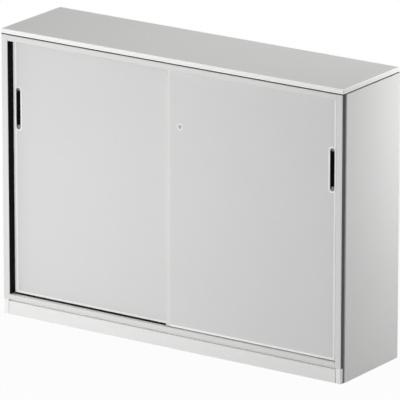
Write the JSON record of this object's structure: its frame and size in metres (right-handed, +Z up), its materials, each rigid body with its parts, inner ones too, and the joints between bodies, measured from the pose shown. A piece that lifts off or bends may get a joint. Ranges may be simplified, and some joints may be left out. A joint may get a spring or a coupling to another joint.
{
  "type": "sliding door cabinet",
  "caption": "Office cabinet with overlapping doors that slide on rollers, recessed handles, a lock, a centre partition with shelves, a closed plinth and a top plate over a shadow gap.",
  "frame": {"origin": "centre of the footprint on the floor", "axes": "+Z up, -Y out of the doors, +X to the right as seen from the front"},
  "size_m": [1.6, 0.4, 1.17],
  "materials": {
    "melamine_white": "white melamine facing with a fine satin grain",
    "melamine_grey": "light grey melamine facing with a fine satin grain",
    "edge_white": "white edging, satin",
    "plastic_black": "black moulded plastic",
    "strip_dark": "anthracite strip, matt",
    "rim_silver": "satin nickel plate",
    "steel_plated": "zinc plated",
    "nylon_white": "natural nylon"
  },
  "bodies": {
    "cabinet": {"top_plate": "melamine_grey", "top_plate_edging": "edge_white", "spacer_frame": "plastic_black", "left_side_board": "melamine_white", "right_side_board": "melamine_white", "left_side_cladding": "melamine_white", "right_side_cladding": "melamine_white", "left_corner_strip": "strip_dark", "right_corner_strip": "strip_dark", "left_jamb_strip": "plastic_black", "right_jamb_strip": "plastic_black", "carcass_top_board": "melamine_white", "bottom_board": "melamine_white", "back_panel": "melamine_white", "centre_partition": "melamine_white", "left_lower_shelf": "melamine_white", "left_upper_shelf": "melamine_white", "right_lower_shelf": "melamine_white", "right_upper_shelf": "melamine_white", "plinth_front_board": "melamine_white", "plinth_rear_board": "melamine_white", "left_plinth_cap": "edge_white", "right_plinth_cap": "edge_white", "lower_track": "plastic_black", "upper_guide": "plastic_black"},
    "left_door": {"left_door_panel": "melamine_white", "left_jamb_profile": "edge_white", "left_meeting_profile": "edge_white", "left_handle_cup": "plastic_black", "left_handle_rim": "rim_silver", "left_outer_roller_housing": "plastic_black", "left_outer_roller_axle": "steel_plated", "left_outer_top_guide": "plastic_black", "left_inner_roller_housing": "plastic_black", "left_inner_roller_axle": "steel_plated", "left_inner_top_guide": "plastic_black", "lock_strike": "steel_plated"},
    "right_door": {"right_door_panel": "melamine_white", "right_jamb_profile": "edge_white", "right_meeting_profile": "edge_white", "right_handle_cup": "plastic_black", "right_handle_rim": "rim_silver", "right_outer_roller_housing": "plastic_black", "right_outer_roller_axle": "steel_plated", "right_outer_top_guide": "plastic_black", "right_inner_roller_housing": "plastic_black", "right_inner_roller_axle": "steel_plated", "right_inner_top_guide": "plastic_black", "lock_housing": "rim_silver"},
    "left_outer_roller": {"left_outer_roller": "nylon_white"},
    "left_inner_roller": {"left_inner_roller": "nylon_white"},
    "right_outer_roller": {"right_outer_roller": "nylon_white"},
    "right_inner_roller": {"right_inner_roller": "nylon_white"},
    "lock_barrel": {"lock_rotor": "rim_silver", "lock_cam": "steel_plated"},
    "front_left_levelling_screw": {"front_left_levelling_screw": "steel_plated"},
    "front_right_levelling_screw": {"front_right_levelling_screw": "steel_plated"},
    "rear_left_levelling_screw": {"rear_left_levelling_screw": "steel_plated"},
    "rear_right_levelling_screw": {"rear_right_levelling_screw": "steel_plated"}
  },
  "joints": [
    {"name": "left_door_slide", "type": "slide", "parent": "cabinet", "child": "left_door", "axis": [1, 0, 0], "range_m": [0, 0.741]},
    {"name": "right_door_slide", "type": "slide", "parent": "cabinet", "child": "right_door", "axis": [-1, 0, 0], "range_m": [0, 0.741]},
    {"name": "left_outer_roller_spin", "type": "hinge", "parent": "left_door", "child": "left_outer_roller", "pos_m": [-0.666, -0.155, 0.0908], "axis": [0, 1, 0], "continuous": true},
    {"name": "left_inner_roller_spin", "type": "hinge", "parent": "left_door", "child": "left_inner_roller", "pos_m": [-0.075, -0.155, 0.0908], "axis": [0, 1, 0], "continuous": true},
    {"name": "right_outer_roller_spin", "type": "hinge", "parent": "right_door", "child": "right_outer_roller", "pos_m": [0.666, -0.175, 0.0908], "axis": [0, 1, 0], "continuous": true},
    {"name": "right_inner_roller_spin", "type": "hinge", "parent": "right_door", "child": "right_inner_roller", "pos_m": [0.075, -0.175, 0.0908], "axis": [0, 1, 0], "continuous": true},
    {"name": "lock_turn", "type": "hinge", "parent": "right_door", "child": "lock_barrel", "pos_m": [0.042, -0.177, 0.9], "axis": [0, -1, 0], "range_deg": [0, 90]},
    {"name": "front_left_screw_turn", "type": "hinge", "parent": "cabinet", "child": "front_left_levelling_screw", "pos_m": [-0.723, -0.115, 0.04], "axis": [0, 0, 1], "range_deg": [0, 2880]},
    {"name": "front_right_screw_turn", "type": "hinge", "parent": "cabinet", "child": "front_right_levelling_screw", "pos_m": [0.723, -0.115, 0.04], "axis": [0, 0, 1], "range_deg": [0, 2880]},
    {"name": "rear_left_screw_turn", "type": "hinge", "parent": "cabinet", "child": "rear_left_levelling_screw", "pos_m": [-0.723, 0.14, 0.04], "axis": [0, 0, 1], "range_deg": [0, 2880]},
    {"name": "rear_right_screw_turn", "type": "hinge", "parent": "cabinet", "child": "rear_right_levelling_screw", "pos_m": [0.723, 0.14, 0.04], "axis": [0, 0, 1], "range_deg": [0, 2880]}
  ],
  "couplings": [
    {"joint": "left_outer_roller_spin", "follows": "left_door_slide", "rad_per_m": 117.65},
    {"joint": "left_inner_roller_spin", "follows": "left_door_slide", "rad_per_m": 117.65},
    {"joint": "right_outer_roller_spin", "follows": "right_door_slide", "rad_per_m": -117.65},
    {"joint": "right_inner_roller_spin", "follows": "right_door_slide", "rad_per_m": -117.65}
  ]
}
